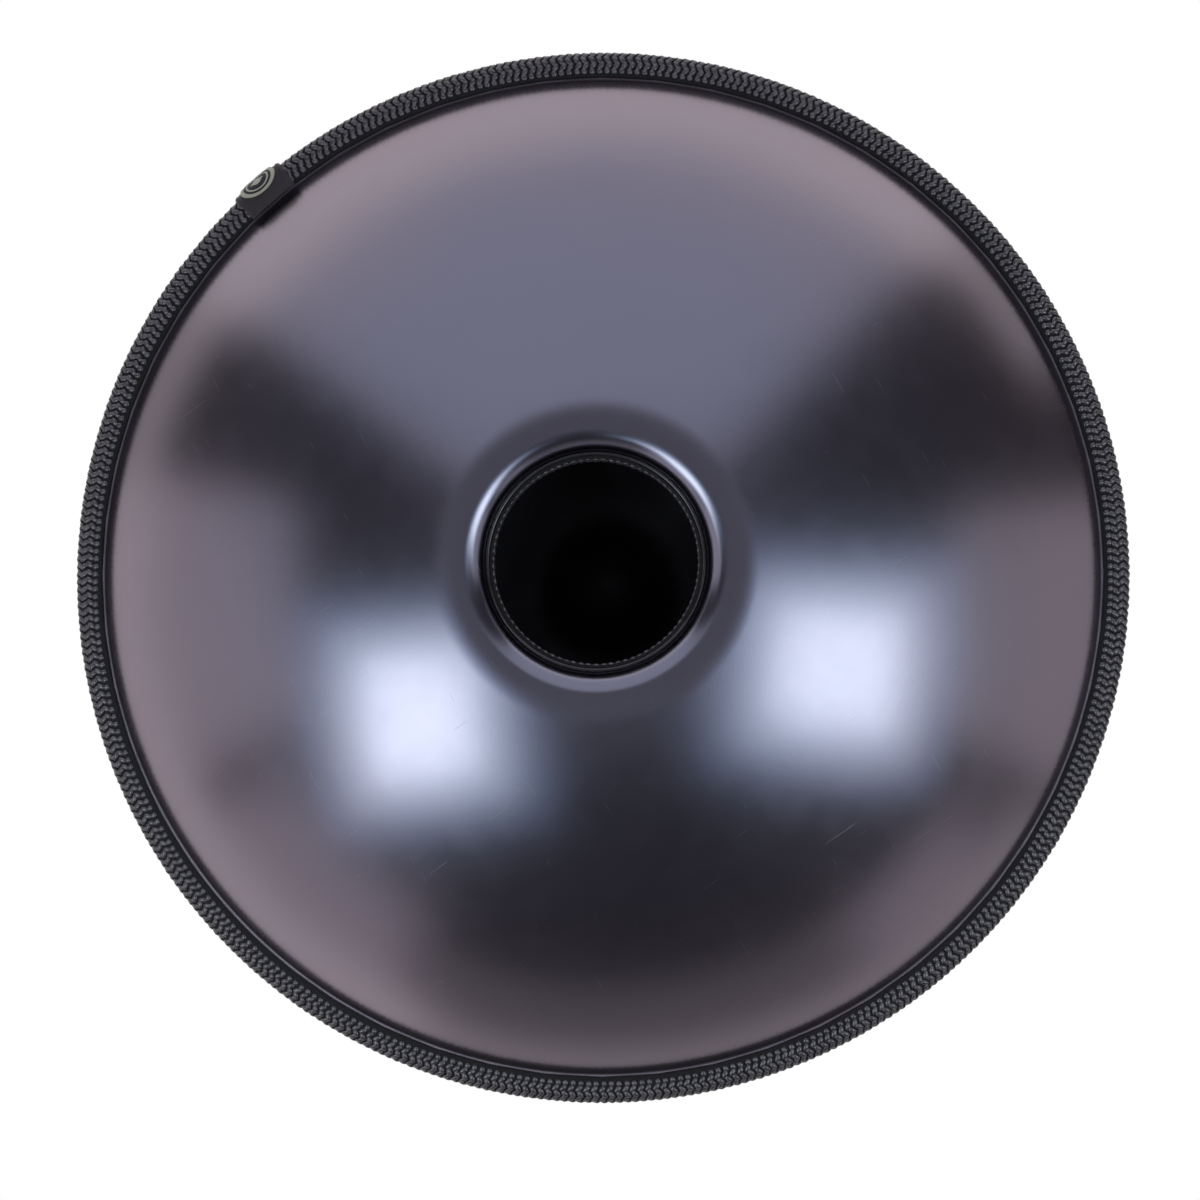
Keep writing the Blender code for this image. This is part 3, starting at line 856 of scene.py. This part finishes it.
def surroundings():
    """Large dim panels far round the part, by the direction that they are seen in.

    around is the direction's angle about Z, in degrees from +X towards -Y, and away is its angle
    from straight down. Camera rays see plain white.
    """
    world = bpy.data.worlds.new("studio")
    bpy.context.scene.world = world
    world.use_nodes = True
    world.node_tree.nodes.clear()
    graph = Graph(world.node_tree)
    towards = graph.node("ShaderNodeTexCoord").outputs["Generated"]
    axes = graph.node("ShaderNodeSeparateXYZ", {0: towards})
    x, y, z = axes.outputs
    ahead = graph.math("MULTIPLY", z, -1.0)
    away = graph.math("MULTIPLY", graph.math("ARCCOSINE", ahead), math.degrees(1))
    flipped = graph.math("MULTIPLY", y, -1.0)
    around = graph.math("MULTIPLY", graph.math("ARCTAN2", flipped, x), math.degrees(1))
    turned = graph.math("MODULO", graph.math("ADD", around, 360.0), 360.0)
    level = graph.node("ShaderNodeCombineXYZ", {0: x, 1: y}).outputs[0]
    run = graph.node("ShaderNodeVectorMath", {0: level}, operation="LENGTH").outputs["Value"]
    side = graph.math("MULTIPLY", away, graph.math("DIVIDE", x, graph.math("MAXIMUM", run, 1e-4)))

    def between(value, low, high, soft):
        rise = graph.step(value, low - soft, low + soft)
        fall = graph.step(value, high - soft, high + soft, 1.0, 0.0)
        return graph.math("MULTIPLY", rise, fall)

    light = (0.038, 0.034, 0.042)

    def panel(mask, colour):
        nonlocal light
        light = graph.mix(mask, light, colour)

    def sector(low, high, soft, rise):
        return graph.math("MULTIPLY", between(turned, low, high, soft), rise)

    panel(graph.step(away, 12, 34, 1.0, 0.0), (0.150, 0.140, 0.168))
    panel(sector(240, 335, 6, graph.step(away, 62, 70)), (0.150, 0.138, 0.158))
    panel(sector(207, 240, 4, graph.step(away, 50, 66)), (0.42, 0.38, 0.44))
    panel(sector(306, 327, 4, graph.step(away, 61, 74)), (0.36, 0.33, 0.38))
    panel(sector(163.5, 202, 2.5, graph.step(side, -52, -45, 1.0, 0.0)), (0.49, 0.445, 0.51))
    right = graph.math("MULTIPLY", between(around, -22, 13.5, 1.5), graph.step(side, 49, 57))
    panel(right, (0.42, 0.39, 0.44))
    panel(sector(48.5, 142, 2, graph.step(away, 16, 29)), (0.48, 0.475, 0.58))
    panel(sector(29, 334, 5, graph.step(away, 78, 93)), (0.44, 0.41, 0.44))
    panel(sector(165, 245, 4, graph.step(away, 72, 92)), (0.66, 0.61, 0.66))
    panel(sector(47, 143, 3, graph.step(away, 68, 88)), (0.80, 0.75, 0.80))
    panel(graph.step(away, 118, 150), (0.55, 0.55, 0.58))
    panel(graph.step(away, 152, 166), (1.5, 1.5, 1.5))
    seen = graph.node("ShaderNodeLightPath").outputs["Is Camera Ray"]
    colour = graph.mix(seen, light, (1.0, 1.0, 1.0))
    background = graph.node("ShaderNodeBackground", {"Color": colour, "Strength": 1.0})
    graph.node("ShaderNodeOutputWorld", {"Surface": background.outputs[0]})


def lights():
    surroundings()
    left_aim = (-0.092, 0.081, 0.014)
    right_aim = (0.122, 0.056, 0.017)
    left = (-0.481, 0.316, -0.818)
    right = (0.579, 0.194, -0.792)
    soft_light("low_left_fringe", left_aim, left, 0.62, 0.540, 0.520, 0.36, (0.52, 0.68, 1.0))
    soft_light("low_left_halo", left_aim, left, 0.60, 0.380, 0.390, 0.40, (0.86, 0.93, 1.0))
    soft_light("low_left", left_aim, left, 0.58, 0.225, 0.250, 0.31, (1.0, 1.0, 1.0))
    soft_light("low_right_fringe", right_aim, right, 0.91, 0.800, 0.700, 0.75, (0.52, 0.68, 1.0))
    soft_light("low_right_halo", right_aim, right, 0.88, 0.570, 0.520, 0.78, (0.86, 0.93, 1.0))
    soft_light("low_right", right_aim, right, 0.85, 0.350, 0.320, 0.56, (1.0, 1.0, 1.0))
    soft_light("overhead", (0.0, 0.0, 0.1), (-0.243, -0.292, 0.925), 2.0, 1.2, 1.2, 20.0, (1.0, 0.99, 0.97))


def floor():
    """A pale floor seen only from above, so that the part can be looked at from below."""
    made = bpy.data.materials.new("pale_floor")
    made.use_nodes = True
    made.node_tree.nodes.clear()
    graph = Graph(made.node_tree)
    seen = graph.node("ShaderNodeLightPath").outputs["Is Camera Ray"]
    behind = graph.node("ShaderNodeNewGeometry").outputs["Backfacing"]
    share = graph.math("MULTIPLY", seen, graph.math("SUBTRACT", 1.0, behind))
    place = graph.node("ShaderNodeTexCoord").outputs["Object"]
    cloud = graph.noise(place, 3.0, 3.0, 0.5)
    pale = graph.mix(cloud, (0.80, 0.80, 0.80), (0.84, 0.84, 0.84))
    matt = graph.node("ShaderNodeBsdfDiffuse", {"Color": pale})
    clear = graph.node("ShaderNodeBsdfTransparent")
    mixed = graph.node("ShaderNodeMixShader", {0: share, 1: clear.outputs[0], 2: matt.outputs[0]})
    graph.node("ShaderNodeOutputMaterial", {"Surface": mixed.outputs[0]})
    half = 6.0
    corners = [(-half, -half, -0.0004), (half, -half, -0.0004), (half, half, -0.0004), (-half, half, -0.0004)]
    add_mesh("floor", corners, [(0, 1, 2, 3)], [made], 0)


def main():
    bpy.context.scene.view_settings.view_transform = "Standard"
    camera()
    lights()
    floor()
    bottom_shell()
    top_shell()
    rim_braid()
    port_braid()
    port_adhesive()
    trim_sleeve()
    badge()
    for name in ("flange_bond", "rim_trim_adhesive"):
        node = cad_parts[name]
        for slot in node.material_slots:
            slot.material = GLUE_LOOK


main()
